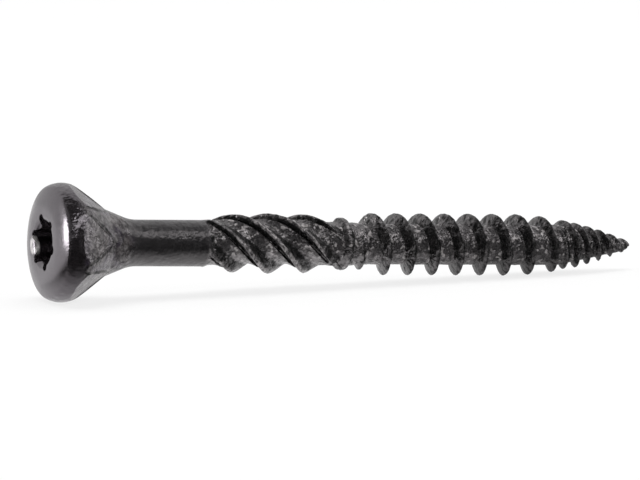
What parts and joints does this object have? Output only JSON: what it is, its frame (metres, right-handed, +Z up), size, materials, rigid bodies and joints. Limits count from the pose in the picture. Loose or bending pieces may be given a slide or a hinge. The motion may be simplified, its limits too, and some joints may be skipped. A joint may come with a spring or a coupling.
{
  "type": "flat head wood screw",
  "caption": "Flat head wood screw with a six-lobe drive, cutting nibs under the head, a smooth shank, a spiral knurl and a coarse thread that runs to a point.",
  "frame": {"origin": "on the surface that the screw lies on, under the middle of its bounding box", "axes": "+X along the length, from the head to the tip; +Z up; the screw's own axis dips to the tip by about 3 degrees, because it lies on the side of its head and on its thread"},
  "size_m": [0.0508, 0.0092, 0.0093],
  "materials": {
    "black_coating": "black corrosion-proof coating, satin on the head and shank and rough on the rolled knurl and thread"
  },
  "bodies": {
    "root": {"screw": "black_coating"}
  },
  "joints": []
}
